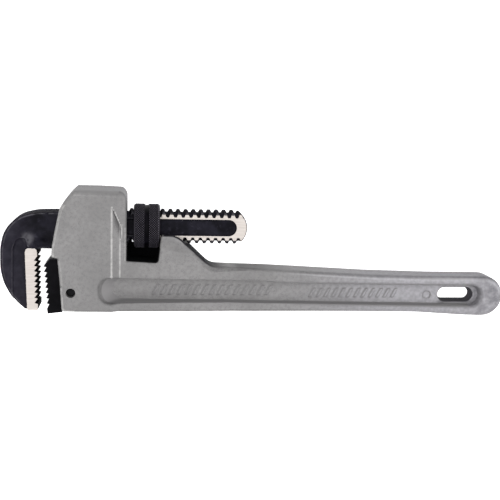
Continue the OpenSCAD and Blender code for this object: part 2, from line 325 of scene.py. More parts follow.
# the pocket's walls lean by this much for each millimetre below its brim
POCKET_DRAFT, POCKET_BRIM = 0.07, 14.0

FRAME_OUTLINE = rounded([
    # base
    (-134.2, -38.3, 2.2), (-101, -38.6, 0), (-95, -39, 0), (-20, -39.6, 0), (60, -39.9, 60),
    (112, -40.4, 90), (146, -42.6, 30), (TAIL_X - 3, FRAME_LOW[1], 0),
    # round tail
    *[(TAIL_X + TAIL_R * math.cos(math.radians(a)), TAIL_Y + TAIL_R * math.sin(math.radians(a)), 0)
      for a in range(-90, 91, 9)],
    # upper side of the handle, and the hump
    (122, -14.2, 60), (76, -13.2, 90), (26, -10.9, 60), (-7, -9.6, 40), (-35.2, -8.4, 11),
    (-56.4, 10.8, 12), (-61.5, 13.0, 4), (-69.1, 13.1, 1.6),
    # nut window
    (-71.3, WINDOW_FLOOR_Y - 1.7, 2.0), (HOUSING_BACK_X, WINDOW_FLOOR_Y - 0.8, 1.8),
    # housing: back, roof and front
    (HOUSING_BACK_X, 38.6, 6), (-94.6, FRAME_HIGH[1] - 0.5, 5), (-110, FRAME_HIGH[1], 40),
    (-125.7, FRAME_HIGH[1], 1.6), (-130.4, 38.4, 24), (-135.1, 31.2, 12), (-136.7, 24.0, 20),
    (-138.6, 14.9, 60), (-140.3, 5.6, 30), (-140.8, -1.6, 1.0), (-136.9, -2.6, 0.8), (-135.6, -17.2, 0),
])
POCKET_RIM = rounded([
    (-110.4, -15.9, 9.0), (-96, -16.1, 0), (-42, -17.0, 0), (0, -17.8, 0), (31, -19.4, 40),
    (120, -20.3, 0), (158.6, -20.4, 7.6), (158.6, -35.9, 7.6), (120, -35.4, 0), (58, -34.6, 0),
    (0, -33.8, 0), (-42, -33.2, 0), (-110.4, -33.0, 9.0),
], 10)
# the scooped front end of the pocket: centre, reach along X and half height of its rounded floor,
# and how fast the floor rises outside them
SCOOP_X, SCOOP_Y, SCOOP_LONG, SCOOP_HIGH, SCOOP_RISE = -92.0, -24.6, 9.6, 7.4, 13.0
# two rows of plain slanting ribs on the pocket floor: (first X, last X, ribs, middle Y, half height)
RIB_ROWS = [(-72.0, 6.0, 15, -25.8, 3.6), (37.0, 96.0, 12, -27.4, 3.4)]
RIB_SLANT, RIB_HEIGHT, RIB_HALF, RIB_FLANK = 0.5, 0.85, 1.75, 1.3
# a plain ring near the slot, with its middle sunk a little
MARK_X, MARK_Y, MARK_R, MARK_HEIGHT, MARK_DEPTH = 120.4, -28.7, 2.9, 0.35, 0.25
# painted highlight lines where the cheek drops to the finger relief: (X, top Y, bottom Y)
HIGHLIGHT_LINES = [(-101.6, 32.8, -15.8), (-96.4, 21.0, -15.8), (-92.9, 19.0, -4.5)]
LINE_HIGHLIGHT, BEVEL_HIGHLIGHT = 0.37, 0.24
# painted shade: how much darker the colour gets along the rim, at the ribs' feet, on the ring and below
# the slot
RIM_SHADE, RIB_SHADE, RING_SHADE, STRIP_SHADE = 0.16, 0.9, 0.15, 0.45
ROOF_BEVEL_SLOPE = 0.22
HEEL_SEAT = rounded([(-150, -5.9, 0), (-121.9, -5.9, 0.6), (-121.9, -34.1, 0.6), (-150, -34.1, 0)])
CHANNEL = rounded([(-160, 0.4, 0), (-80, 0.8, 0), (-80, 33.8, 0), (-100, 33.8, 0), (-160, 34.95, 0)])


def roof_bevel_y(x):
    """Where the long bevel below the roof begins."""
    return np.interp(x, [-130, -100], [40.0, 39.1])


def cheek_half(x, y):
    """Half thickness of the casting's outside: thick cheeks, finger reliefs, slimmer handle."""
    base = np.interp(x, [-101.6, -96.5, -92, -70, -44, -20, 170],
                     [HALF_THICK, 14.5, 14.3, 13.5, 12.4, 11, 11])
    # above a slanting line the cheek keeps its full thickness as far as the window
    line_y = np.interp(x, [-101.6, -96.5, -85], [32.8, 21.0, 19.0])
    bead = 0.4 * ridge(x + 96.2, 0.5) * (y < 21)
    steep = np.interp(x, [-97.6, -95.6], [1.6, 0.3])
    half = np.maximum(base + bead, np.minimum(HALF_THICK, HALF_THICK + (y - line_y) * steep))
    return half - np.maximum(y - roof_bevel_y(x), 0) * ROOF_BEVEL_SLOPE


def rib_relief(x, y):
    """1 on the slanting ribs, 0 between them."""
    relief = 0.0
    for first, last, ribs, middle_y, reach in RIB_ROWS:
        gap = (last - first) / (ribs - 1)
        along = (x - (y - middle_y) * RIB_SLANT - first) / gap
        off = np.abs(along - np.clip(np.round(along), 0, ribs - 1)) * gap
        ends = reach + 0.4 - np.abs(y - middle_y)
        relief = relief + ease((RIB_HALF - off) / RIB_FLANK) * ease(ends / RIB_FLANK)
    return relief


def pocket_floor(x, y):
    """Half thickness of the web: scooped front end, ribs and the ring near the slot."""
    ahead = np.hypot(np.minimum(x - SCOOP_X, 0) / SCOOP_LONG, (y - SCOOP_Y) / SCOOP_HIGH) - 1
    scoop = SCOOP_RISE * np.maximum(ahead, 0) * ease((-72 - x) / 18)
    floor = WEB_HALF + scoop + RIB_HEIGHT * rib_relief(x, y)
    mark = np.hypot(x - MARK_X, y - MARK_Y)
    ring = MARK_HEIGHT * ease(1 - np.abs(mark - MARK_R) / 0.7)
    return floor + ring - MARK_DEPTH * ease((MARK_R - 0.1 - mark) / 0.6)


def pocket_field(x, y, s):
    """The pocket of the I-section, with drafted walls and a fillet round its floor."""
    wall = outline_distance(POCKET_RIM, x, y) + (POCKET_BRIM - s) * POCKET_DRAFT
    return both(wall, (pocket_floor(x, y) - s) * 0.8, 0.9)


def edge_round(x, y):
    """Rounding of the casting's outer edges along the wrench, tighter along the base."""
    base = np.interp(x, [-141, -70, 0], [1.5, 1.5, 2.0]) + 0 * y
    above = np.interp(x, [-141, -134, -122, -98, -92.5, -90.5, -72, -60, -10, 40, 150, 175],
                     [1.5, 2.4, 3.0, 3.2, 3.0, 1.3, 1.3, 1.8, 2.0, 3.2, 4.2, 4.8])
    return np.where((y < -22) & (x < 0), base, above)


def casting_wear_and_highlights(bend, x, y):
    """Worn edges with painted highlights on the housing, most along its front, and painted highlight lines
    on the finger relief and along the roof's bevel.
    """
    housing = (x < -94) & (y < 33.5) & ((y > -14.5) | (x < -126))
    housing &= np.hypot(x - PIN_X, y - PIN_Y) > 5.5
    wear = bend * np.where(housing, np.interp(x, [-130, -124], [1.25, 0.9]), 0.1)
    for line_x, top_y, bottom_y in HIGHLIGHT_LINES:
        wear += LINE_HIGHLIGHT * ridge(x - line_x, 0.8) * ((y < top_y) & (y > bottom_y))
    bevel = ridge(y - roof_bevel_y(x), 0.7) * ((x > -129) & (x < -98))
    return wear + BEVEL_HIGHLIGHT * bevel


def casting_painted_shade(x, y):
    """Painted shade: how much darker the colour is along the pocket's rim, at the feet of the ribs, on the
    ring and on the strip between the slot and the rim."""
    rim = RIM_SHADE * ridge(outline_distance(POCKET_RIM, x, y) - 0.8, 0.8) * ease((x - 20) / 30)
    relief = rib_relief(x, y)
    ring = ridge(np.hypot(x - MARK_X, y - MARK_Y) - MARK_R, 0.6)
    strip = (y < SLOT_Y - SLOT_WIDTH / 2) & (y > -34.7)
    below_slot = STRIP_SHADE * strip * ease((x - 127) / 4) * ease((155 - x) / 4)
    return np.maximum(rim + RIB_SHADE * relief * (1 - relief) + RING_SHADE * ring, below_slot)


def frame_field(x, y, z):
    """The casting: outside, window wall, handle pocket, and everything cut out of it."""
    s = np.abs(z - MID_Z)
    half = cheek_half(x, y)
    radius = edge_round(x, y) + np.zeros_like(half)
    outside = outline_distance(FRAME_OUTLINE, x, y)
    # bevel along the sloping back of the hump
    bevel = np.interp(x, [-60, -38, -22, 2], [0, 3.6, 2.6, 0]) * (y > -14)
    half = half - np.where(bevel > 0, np.maximum(bevel + outside, 0), 0)
    body = both(outside + 0 * s, (s - half), radius + 0 * s)
    # low wall that closes the window behind the nut
    wall = np.minimum(np.maximum(plate(x, y, *WINDOW_WALL), s - half),
                      np.maximum(plate(x, y, *WINDOW_STEP), s - half))
    body = either(body, both(wall, z - BACK_WALL_Z, 0.8), 0.6)
    rim_round = np.interp(x, [-108, -92, -20, 60, 150], [2.0, 0.8, 0.8, 1.5, 2.0])
    body = without(body, pocket_field(x, y, s), rim_round + 0 * s)
    # the way of the shank and the nut
    channel = both(outline_distance(CHANNEL, x, y), x - CHANNEL_END_X)
    body = without(body, both(channel, s - CHANNEL_HALF, 1.0), 0.8)
    groove = both(GROOVE_FLOOR_Y - y, np.maximum(GROOVE_START_X - x, x - GROOVE_END_X))
    body = without(body, both(groove, s - GROOVE_HALF, 0.8), 0.8)
    recess = np.maximum(np.abs(x - NUT_RECESS_X) - NUT_RECESS_LONG, s - NUT_RECESS_HALF)
    body = without(body, both(np.hypot(y - AXIS_Y, z - MID_Z) - NUT_R - NUT_GAP, recess, 0.3), 0.4)
    # hanging slot, pin hole, heel jaw's seat and the springs' holes
    slot = np.hypot(np.maximum(np.abs(x - SLOT_X) - (SLOT_LENGTH - SLOT_WIDTH) / 2, 0), y - SLOT_Y)
    body = without(body, slot - SLOT_WIDTH / 2 - (z - MID_Z) * SLOT_DRAFT, 0.8)
    pin_hole = np.hypot(x - PIN_X, y - PIN_Y) - PIN_HOLE_R
    body = without(body, pin_hole + 0 * s, 0.35)
    body = without(body, both(outline_distance(HEEL_SEAT, x, y), s - SEAT_HALF), 0.3)
    coil_hole = np.hypot(x - COIL_X, z - MID_Z) - COIL_HOLE_R
    body = without(body, np.maximum(coil_hole, np.maximum(COIL_LOW_Y - y, y - COIL_HIGH_Y)), 0.2)
    rivet_hole = np.hypot(x - RIVET_X, z - MID_Z) - RIVET_HOLE_R
    rivet_hole = np.maximum(rivet_hole, np.maximum(RIVET_LOW_Y - y, y - RIVET_HIGH_Y))
    return without(body, rivet_hole, 0.2)


# ---------------------------------------------------------------- hook jaw

TOOTH_PITCH, TOOTH_DEPTH = 3.62, 1.9
HOOK_TIP_X, FIRST_HOOK_TIP_Y, HOOK_TEETH = -150.5, -2.1, 9
HOOK_HALF = 10.0
BLOCK_HALF = (HOOK_HIGH[2] - HOOK_LOW[2]) / 2
BLOCK_X, BLOCK_TOP_Y = -158.5, 3.0
CREST_R, ROOT_R, PITCH = 11.7, 9.75, 5.2
# half width of the thread's ridge at its foot and the width of its flank, in turns
THREAD_FOOT, THREAD_FLANK = 0.385, 0.28
FLAT_HALF = 7.0
THREAD_START_X, SHANK_END_X, SHANK_END_R, LAST_CREST_X = -97.0, -10.7, 13.5, -16.0
# forged hollow in each flat: start, radius of its ends, depth, and its distance from the shank's end
HOLLOW_START_X, HOLLOW_R, HOLLOW_DEPTH, HOLLOW_REST = -93, 5.2, 1.0, 7.6

HOOK_OUTLINE = rounded([
    # inner side, from the shank to the lower end
    (-95, 7.0, 0), (-104, 6.6, 4), (-112, 4, 6), (-129, 2.6, 0), (-147.6, 2.8, 1.6),
    (-152.9, 1.0, 2.0), (-152.9, HOOK_LOW[1] + 0.3, 0), (-159.3, HOOK_LOW[1] + 0.1, 0.8),
    # outer side, back to the shank
    (-164.6, -33.9, 30), (-168.8, -28.4, 30), (-173.0, -20.4, 30), (HOOK_LOW[0] + 0.05, -11, 30),
    (HOOK_LOW[0] + 0.2, 2.6, 30), (-172.8, 12.2, 24), (-168.3, 19.2, 22), (-161.5, 24.5, 26),
    (-151, 26.9, 40), (-139, 27.1, 0), (-95, 27.8, 0),
], 8)
PANEL_OUTLINE = rounded([
    (-166.0, 3.0, 4), (-163.8, 8.8, 3.0), (-158.6, 9.6, 1.5), (-156.5, 2, 0), (-156.5, -44, 0),
    (-166.6, -44, 0), (-166.5, -20, 0),
])


def block_outline():
    """Ground block of the hook jaw; its teeth point up, against the heel jaw's."""
    points = [(BLOCK_X, 0.2), (BLOCK_X + 0.6, 2.2), (BLOCK_X + 1.6, BLOCK_TOP_Y),
              (-152.0, BLOCK_TOP_Y), (-150.9, 1.9), (-150.7, 0.6)]
    root_x = HOOK_TIP_X - TOOTH_DEPTH - 0.3
    for i in range(HOOK_TEETH):
        points.append((HOOK_TIP_X, FIRST_HOOK_TIP_Y - i * TOOTH_PITCH))
        points.append((root_x, FIRST_HOOK_TIP_Y - (i + 0.82) * TOOTH_PITCH))
    points += [(HOOK_TIP_X, FIRST_HOOK_TIP_Y - HOOK_TEETH * TOOTH_PITCH),
               (HOOK_TIP_X, HOOK_LOW[1] + 0.3), (HOOK_TIP_X - 0.3, HOOK_LOW[1]),
               (BLOCK_X + 1.0, HOOK_LOW[1])]
    return np.array(points)


BLOCK_OUTLINE = block_outline()


def hook_half(x, y):
    """Half thickness of the forging: outer band, sunk panel and the swelling above the teeth."""
    panel = 1.3 * ease(0.5 - outline_distance(PANEL_OUTLINE, x, y) / 1.5)
    swelling = 0.9 * mound(x, y, -155.4, 7.6, 3.6, 4.2, 1.4)
    hollow = 1.4 * mound(x, y, -147.5, 6.6, 4.6, 2.6, 1.2)
    dimple = 1.2 * mound(x, y, -162.2, 6.5, 3.3, 4.2, 1.3)
    slack = np.interp(x, [-175, -168, -150], [0.8, 0.1, 0.0])
    return HOOK_HALF - panel + swelling - hollow - dimple - slack


def shank_field(x, y, z):
    """The shank with its right-hand thread, ground flats and forged hollows."""
    s = np.abs(z - MID_Z)
    rho = np.hypot(y - AXIS_Y, z - MID_Z)
    turn = (x - LAST_CREST_X) / PITCH - np.arctan2(z - MID_Z, y - AXIS_Y) / (2 * math.pi)
    off_crest = np.abs(turn - np.round(turn))
    crest = ease((THREAD_FOOT - off_crest) / THREAD_FLANK)
    fade = ease((x - THREAD_START_X + 1.5) / 3.0)
    # scaled down, because a thread's sloping sides make the field change faster than distance
    rod = (rho - (ROOT_R + (CREST_R - ROOT_R) * crest * fade)) * 0.75
    hollow_end_x = SHANK_END_X - HOLLOW_REST - HOLLOW_R
    beyond = np.maximum(x - hollow_end_x, np.maximum(HOLLOW_START_X - x, 0))
    hollow = np.hypot(beyond, y - AXIS_Y) - HOLLOW_R
    flat = FLAT_HALF - HOLLOW_DEPTH * ease(0.5 - hollow / 1.1)
    end_x = SHANK_END_X - SHANK_END_R
    end_round = np.hypot(x - end_x, y - AXIS_Y) - SHANK_END_R
    ends = np.maximum(np.where(x > end_x, end_round, -1.0), THREAD_START_X - 3 - x)
    return both(both(rod, s - flat, 0.15), ends + 0 * rod, 0.9)


def hook_wear_and_highlights(bend, x, y):
    """Worn edges, a painted highlight on the swelling above the teeth, and a line inside the outer edge.
    """
    bend = bend * np.where((x > -153) & (x < -140) & (y < 2.5), 0.3, 1.0)
    wide = np.clip(3.9 + (y - 9) * 0.28, 1.4, 6)
    # painted highlight on the swelling above the teeth
    bend = bend + 0.95 * mound(x, y, -156.3, 9.2, wide, 5.2)
    inset = np.interp(x, [-171, -160, -152], [1.9, 1.2, 0.7])
    line = ridge(outline_distance(HOOK_OUTLINE, x, y) + inset, 0.45)
    return bend + 0.5 * line * ((x < -162) | (y > 10)) * (y > -34)


def hook_field(x, y, z):
    """The hook jaw: forging, tooth block and shank in one."""
    s = np.abs(z - MID_Z)
    forged = both(outline_distance(HOOK_OUTLINE, x, y) + 0 * s, s - hook_half(x, y), 1.8)
    block = both(outline_distance(BLOCK_OUTLINE, x, y) + 0 * s, s - BLOCK_HALF, 0.12)
    forged = either(forged, block, 0.35)
    return either(np.maximum(forged, x - THREAD_START_X + 0 * s), shank_field(x, y, z), 0.8)


# ---------------------------------------------------------------- heel jaw, nut and small parts

HEEL_TEETH, HEEL_LEAN = 8, math.radians(3.9)
FIRST_HEEL_TIP_X, FIRST_HEEL_TIP_Y = -146.7, -9.3
HEEL_HALF = (HEEL_HIGH[2] - HEEL_LOW[2]) / 2
# tenon in the housing: (middle X, half, middle Y, half), its free end and half thickness
TENON = (-129.9, 7.9, -20.0, 14.0)
TENON_START_X, TENON_HALF = -137.7, 7.0


def heel_outline():
    """Toothed head of the heel jaw; its teeth point down, against the hook jaw's."""
    points = [(-137.2, -4.0), (-142.4, -4.0), (-144.0, -5.5)]
    for i in range(HEEL_TEETH + 1):
        x = FIRST_HEEL_TIP_X + i * TOOTH_PITCH * math.tan(HEEL_LEAN)
        y = FIRST_HEEL_TIP_Y - i * TOOTH_PITCH
        points.append((x, y))
        if i < HEEL_TEETH:
            points.append((x + TOOTH_DEPTH, y - 0.5))
    points += [(-144.3, -41.7), (-134.6, -40.6)]
    return np.array(points)


HEEL_OUTLINE = heel_outline()


def heel_field(x, y, z):
    """The heel jaw: toothed head and tenon, with the hole for its pin."""
    s = np.abs(z - MID_Z)
    head = both(outline_distance(HEEL_OUTLINE, x, y) + 0 * s, s - HEEL_HALF, 0.35)
    tenon = both(plate(x, y, *TENON) + 0 * s, s - TENON_HALF, 0.3)
    tenon = both(tenon, TENON_START_X - x + 0 * s)
    return without(either(head, tenon), np.hypot(x - PIN_X, y - PIN_Y) - PIN_HOLE_R + 0 * s)


def lathe(name, profile, origin, around):
    """Closed object of revolution about Z. profile holds (radius, height) points."""
    turn = np.arange(around) * 2 * math.pi / around
    r, along = np.array(profile, float).T
    rings = np.stack([r[:, None] * np.cos(turn), r[:, None] * np.sin(turn), along[:, None] + 0 * turn], -1)
    verts = rings.reshape(-1, 3) + np.array(origin)
    return mesh_object(name, verts, ring_faces(len(profile), around))


# the shown nut is a little wider than the CAD's, on the side of the hump
NUT_WIDTH = NUT_HIGH[0] - NUT_LOW[0] + 0.5
KNURL_DIAMONDS, POINTS_PER_DIAMOND, KNURL_DEPTH = 58, 12, 0.42
# groove between the two bands, and where the bare chamfers start
NUT_GROOVE_DEPTH, NUT_GROOVE_HALF, BAND_START = 0.9, 1.8, 2.4
BORE_R = CREST_R + 0.3


def nut_profile(step):
    """Closed (radius, distance) profile of the nut, and how deep the knurl is at each point."""
    profile = [(BORE_R, NUT_WIDTH - 0.4), (BORE_R, 0.4), (BORE_R + 0.4, 0.0), (NUT_R - 1.9, 0.0),
               (NUT_R - 1.25, 0.12)]
    knurl = [0.0] * len(profile)
    for k in range(int(NUT_WIDTH / step) + 1):
        along = k * step
        end = min(along, NUT_WIDTH - along)
        if end <= 0.25:
            continue
        chamfer = max(0.0, 1.35 - end) * 0.85
        groove = NUT_GROOVE_DEPTH * float(ease((NUT_GROOVE_HALF - abs(along - NUT_WIDTH / 2)) / 0.9))
        profile.append((NUT_R - chamfer - groove, along))
        knurl.append(float(ease((end - 0.5) / 0.9)) * (1 - float(ease(groove / 0.4))))
    profile += [(NUT_R - 1.25, NUT_WIDTH - 0.12), (NUT_R - 1.9, NUT_WIDTH), (BORE_R + 0.4, NUT_WIDTH)]
    knurl += [0.0] * 3
    return np.array(profile), np.array(knurl)


def knurled_nut():
    """The adjusting nut: two diamond-knurled bands with a groove between them."""
    around = KNURL_DIAMONDS * POINTS_PER_DIAMOND
    cell = 2 * math.pi * NUT_R / KNURL_DIAMONDS
    profile, knurl = nut_profile(cell / POINTS_PER_DIAMOND)
    r, along = profile.T
    turn = np.arange(around) * 2 * math.pi / around
    u = turn[None, :] * NUT_R / cell
    v = along[:, None] / cell
    ridge_a = np.abs((u + v) % 1.0 - 0.5) * 2
    ridge_b = np.abs((u - v) % 1.0 - 0.5) * 2
    cut = KNURL_DEPTH * (1 - np.minimum(ridge_a, ridge_b)) * knurl[:, None]
    rr = r[:, None] - cut
    x = NUT_LOW[0] + along[:, None] + 0 * turn[None, :]
    verts = np.stack([x, AXIS_Y + rr * np.cos(turn), MID_Z + rr * np.sin(turn)], -1).reshape(-1, 3)
    nut = mesh_object("nut_knurled", verts, ring_faces(len(r), around), 60)
    bare = 0.3 * (1 - knurl) * (np.abs(along - NUT_WIDTH / 2) > BAND_START)
    store(nut, "edge_wear_and_highlight", np.clip(1.25 - cut / 0.2, 0, 1) * knurl[:, None] + bare[:, None])
    return nut


# ---------------------------------------------------------------- materials
# Colours are linear. Positions in the masks are in metres, as the shader sees them.

BLACK = (0.0, 0.0, 0.0)


class Shader:
    """Small helper that adds nodes to one material and links them."""

    def __init__(self, name):
        self.material = bpy.data.materials.new(name)
        self.material.use_nodes = True
        self.tree = self.material.node_tree
        self.surface = self.tree.nodes["Principled BSDF"]
        self.place = self.node("ShaderNodeTexCoord").outputs["Object"]

    def node(self, kind, **settings):
        """Adds a node, with some of its properties set."""
        made = self.tree.nodes.new(kind)
        for key, value in settings.items():
            setattr(made, key, value)
        return made

    def link(self, output, target):
        self.tree.links.new(output, target)

    def feed(self, target, value):
        """Gives an input a colour, a number or another node's output."""
        if isinstance(value, tuple):
            target.default_value = (*value, 1.0)
        elif isinstance(value, (int, float)):
            target.default_value = value
        else:
            self.link(value, target)

    def noise(self, scale, detail, roughness, stretch=None):
        """Noise in the piece's own coordinates; stretch scales them along X, Y and Z."""
        place = self.place
        if stretch:
            mapping = self.node("ShaderNodeMapping")
            mapping.inputs["Scale"].default_value = stretch
            self.link(place, mapping.inputs["Vector"])
            place = mapping.outputs["Vector"]
        made = self.node("ShaderNodeTexNoise")
        made.inputs["Scale"].default_value = scale
        made.inputs["Detail"].default_value = detail
        made.inputs["Roughness"].default_value = roughness
        self.link(place, made.inputs["Vector"])
        return made.outputs["Fac"]

    def position(self):
        """X, Y and Z of the piece's own coordinates, in metres."""
        split = self.node("ShaderNodeSeparateXYZ")
        self.link(self.place, split.inputs["Vector"])
        return split.outputs

    def within(self, value, low, high, soft=0.0003):
        """1 where value lies between low and high, in metres."""
        above = self.spread(value, low - soft, low + soft)
        return self.math("MULTIPLY", above, self.spread(value, high - soft, high + soft, 1.0, 0.0))

    def off_middle(self, z):
        """Distance from the wrench's middle plane."""
        return self.math("ABSOLUTE", self.math("SUBTRACT", z, MID_Z * MM))

    def normal(self):
        """X, Y and Z of the direction that the surface faces."""
        split = self.node("ShaderNodeSeparateXYZ")
        self.link(self.node("ShaderNodeNewGeometry").outputs["Normal"], split.inputs["Vector"])
        return split.outputs

    def facing_z(self):
        """How squarely the surface faces the front or the back of the wrench."""
        return self.math("ABSOLUTE", self.normal()["Z"])

    def attribute(self, name):
        """A number that is stored with the mesh."""
        return self.node("ShaderNodeAttribute", attribute_name=name).outputs["Fac"]

    def spread(self, value, low, high, out_low=0.0, out_high=1.0):
        """Map Range with smooth ends."""
        made = self.node("ShaderNodeMapRange", interpolation_type="SMOOTHSTEP")
        self.link(value, made.inputs["Value"])
        limits = {"From Min": low, "From Max": high, "To Min": out_low, "To Max": out_high}
        for key, number in limits.items():
            made.inputs[key].default_value = number
        return made.outputs["Result"]

    def math(self, operation, a, b=0.0):
        """Math node; a and b are numbers or sockets."""
        made = self.node("ShaderNodeMath", operation=operation)
        self.feed(made.inputs[0], a)
        self.feed(made.inputs[1], b)
        return made.outputs["Value"]

    def times(self, first, *others):
        """Product of several sockets."""
        product = first
        for other in others:
            product = self.math("MULTIPLY", product, other)
        return product

    def mix(self, factor, a, b):
        """Colour mix; a and b are colours or sockets."""
        made = self.node("ShaderNodeMix", data_type="RGBA")
        self.link(factor, made.inputs["Factor"])
        self.feed(made.inputs[6], a)
        self.feed(made.inputs[7], b)
        return made.outputs[2]

    def lerp(self, factor, a, b):
        """Number mix; a and b are numbers or sockets."""
        made = self.node("ShaderNodeMix", data_type="FLOAT")
        self.link(factor, made.inputs["Factor"])
        self.feed(made.inputs[2], a)
        self.feed(made.inputs[3], b)
        return made.outputs[0]

    def bump(self, height, strength, distance):
        """Fine relief that only the light sees."""
        made = self.node("ShaderNodeBump")
        made.inputs["Strength"].default_value = strength
        made.inputs["Distance"].default_value = distance
        self.link(height, made.inputs["Height"])
        self.link(made.outputs["Normal"], self.surface.inputs["Normal"])

    def finish(self, color, roughness, metallic, specular):
        """Joins everything to the surface; metallic is a number or a socket."""
        self.link(color, self.surface.inputs["Base Color"])
        self.link(roughness, self.surface.inputs["Roughness"])
        self.feed(self.surface.inputs["Metallic"], metallic)
        self.surface.inputs["Specular IOR Level"].default_value = specular
        return self.material


def blasted_tone(s, x, grain, coarse):
    """Speckled colour of the casting: paler and smoother in tone towards the tail."""
    tone = s.mix(s.spread(s.noise(38, 4, 0.55), 0.3, 0.7), (0.163, 0.16, 0.16), (0.198, 0.194, 0.194))
    speck = s.mix(s.spread(coarse, 0.3, 0.7), (0.13, 0.127, 0.128), tone)
    tone = s.mix(s.spread(grain, 0.35, 0.65), speck, tone)
    tail_tone = s.mix(s.spread(coarse, 0.3, 0.7), (0.212, 0.208, 0.22), (0.265, 0.26, 0.275))
    tone = s.mix(s.spread(x, -0.005, 0.12), tone, tail_tone)
    blotch = s.times(s.spread(x, 0.138, 0.172), s.spread(s.noise(150, 4, 0.6), 0.3, 0.75))
    return s.mix(blotch, tone, (0.115, 0.112, 0.122))


def handle_top_painted_light(s, tone, x, y):
    """Painted light on the handle's upper side: painted shade on its face, a darker painted shade line
    on its rounded edge and a painted highlight band.
    """
    up = s.facing_z()
    round_tail = s.times(s.spread(x, 0.128, 0.13), s.spread(y, -0.028, -0.024))
    above = s.math("MAXIMUM", s.spread(y, -0.0205, -0.0195), round_tail)
    upper = s.times(s.spread(s.normal()["Y"], 0.03, 0.12), s.spread(x, -0.022, -0.014), above)
    near_tail = s.spread(x, 0.085, 0.14)
    amount = s.math("ADD", s.spread(x, -0.016, 0.028, 0.55, 0.22), s.spread(x, 0.045, 0.13, 0.0, 0.15))
    line = s.lerp(s.spread(up, 0.25, 0.4), 1.0, s.spread(x, 0.0, 0.035, 0.3, 1.25))
    line_end = s.lerp(near_tail, s.spread(up, 0.72, 0.9, 1.0, 0.0), s.spread(up, 0.52, 0.74, 1.0, 0.0))
    # painted shade on the upper face and its rounded edge
    tone = s.mix(s.times(upper, amount, line, line_end), tone, BLACK)
    # painted highlight band below the edge
    band = s.lerp(near_tail, s.within(up, 0.9, 0.99, 0.01), s.within(up, 0.78, 0.97, 0.04))
    band = s.times(band, s.spread(x, 0.013, 0.034, 0.0, 0.15))
    return s.mix(s.times(upper, band), tone, (0.5, 0.5, 0.515))


def cast_alloy():
    """Light alloy: blasted cheeks and worn edges, with painted shade on the roof, the housing's back edge,
    the hump's sloping back, the nut window and the slot, and painted highlights.
    """
    s = Shader("cast_alloy")
    x, y, z = s.position()
    off = s.off_middle(z)
    below_cheeks = s.spread(off, 0.0136, 0.0128)
    grain = s.noise(1500, 3, 0.6)
    coarse = s.noise(420, 3, 0.5)
    tone = blasted_tone(s, x, grain, coarse)
    # painted light: the pocket's walls and its scooped end are painted paler
    walls = s.times(s.spread(s.facing_z(), 0.95, 0.75), s.within(y, -0.0362, -0.0155))
    walls = s.times(walls, s.within(x, -0.111, 0.15), below_cheeks)
    tone = s.mix(walls, tone, (0.225, 0.22, 0.222))
    # painted shade on the housing's roof and back edge, and near-black painted shade on the sloping back
    # of the hump
    painted_shade_edge = (0.12, 0.118, 0.12)
    roof = s.times(s.spread(y, 0.032, 0.036), s.spread(s.facing_z(), 0.85, 0.7))
    roof_shade_tone = s.mix(s.spread(s.facing_z(), 0.03, 0.2), painted_shade_edge, (0.16, 0.157, 0.158))
    tone = s.mix(roof, tone, roof_shade_tone)
    back_edge_shade = s.times(s.within(x, -0.0972, -0.0895), s.spread(y, 0.008, 0.03))
    tone = s.mix(s.times(back_edge_shade, s.spread(s.facing_z(), 0.85, 0.4)), tone, painted_shade_edge)
    flank = s.times(s.spread(s.facing_z(), 0.6, 0.4), s.spread(x, -0.022, -0.041))
    flank = s.times(flank, s.spread(x, -0.0685, -0.067), s.spread(y, -0.0165, -0.0145))
    flank_shade_tone = s.mix(s.spread(coarse, 0.2, 0.8), (0.014, 0.0135, 0.016), (0.026, 0.025, 0.029))
    tone = s.mix(flank, tone, flank_shade_tone)
    # painted shade along the pocket's rim, at the ribs' feet, on the ring and below the slot
    tone = s.mix(s.attribute("painted_shade"), tone, BLACK)
    tone = handle_top_painted_light(s, tone, x, y)
    # worn edges, with painted highlights along the housing's front, on the finger relief's lines and on
    # the roof's bevel
    edge = s.spread(s.attribute("edge_wear_and_highlight"), 0.14, 0.5)
    bare = s.times(edge, s.spread(coarse, 0.3, 0.6, 0.45, 0.85))
    tone = s.mix(bare, tone, (0.34, 0.335, 0.33))
    # painted shade: the slot's wall and the inside of the nut window are painted dark
    slot = s.times(s.within(x, 0.127, 0.156), s.within(y, -0.0345, -0.0215))
    slot = s.times(slot, s.spread(off, 0.0044, 0.0037), s.spread(s.facing_z(), 0.9, 0.5))
    tone = s.mix(slot, tone, (0.05, 0.048, 0.053))
    window = s.times(s.within(x, -0.0922, -0.0686), s.within(y, -0.0058, 0.0132), below_cheeks)
    tone = s.mix(window, tone, (0.0015, 0.0015, 0.002))
    dull = s.math("MAXIMUM", slot, s.math("MAXIMUM", window, flank))
    rough = s.lerp(edge, s.spread(grain, 0.2, 0.8, 0.5, 0.64), 0.4)
    s.bump(s.math("ADD", grain, s.math("MULTIPLY", coarse, 0.8)), 0.35, 0.00012)
    return s.finish(tone, s.lerp(dull, rough, 0.9), s.spread(dull, 0.0, 1.0, 0.25, 0.0), 0.05)


def ground_faces(s, x, y, off):
    """Mask of the ground faces: the tooth block's cheeks, and the shank's flats past the nut."""
    block = s.times(s.math("GREATER_THAN", off, (BLOCK_HALF - 0.2) * MM),
                    s.within(x, -0.1588, -0.149, 0.0001),
                    s.math("LESS_THAN", y, (BLOCK_TOP_Y + 0.05) * MM))
    # the grinding stops short of the thread's crests
    across = s.math("SUBTRACT", y, AXIS_Y * MM)
    reach = s.math("SQRT", s.math("ADD", s.times(across, across), s.times(off, off)))
    inner = s.math("MAXIMUM", s.math("LESS_THAN", reach, (CREST_R - 0.6) * MM),
                   s.math("GREATER_THAN", x, -0.0165))
    shank = s.times(s.math("GREATER_THAN", off, (FLAT_HALF - 0.18) * MM),
                    s.math("GREATER_THAN", x, (NUT_LOW[0] + 8) * MM), inner)
    flat = s.math("GREATER_THAN", s.facing_z(), 0.93)
    return s.times(flat, s.math("MAXIMUM", block, shank))


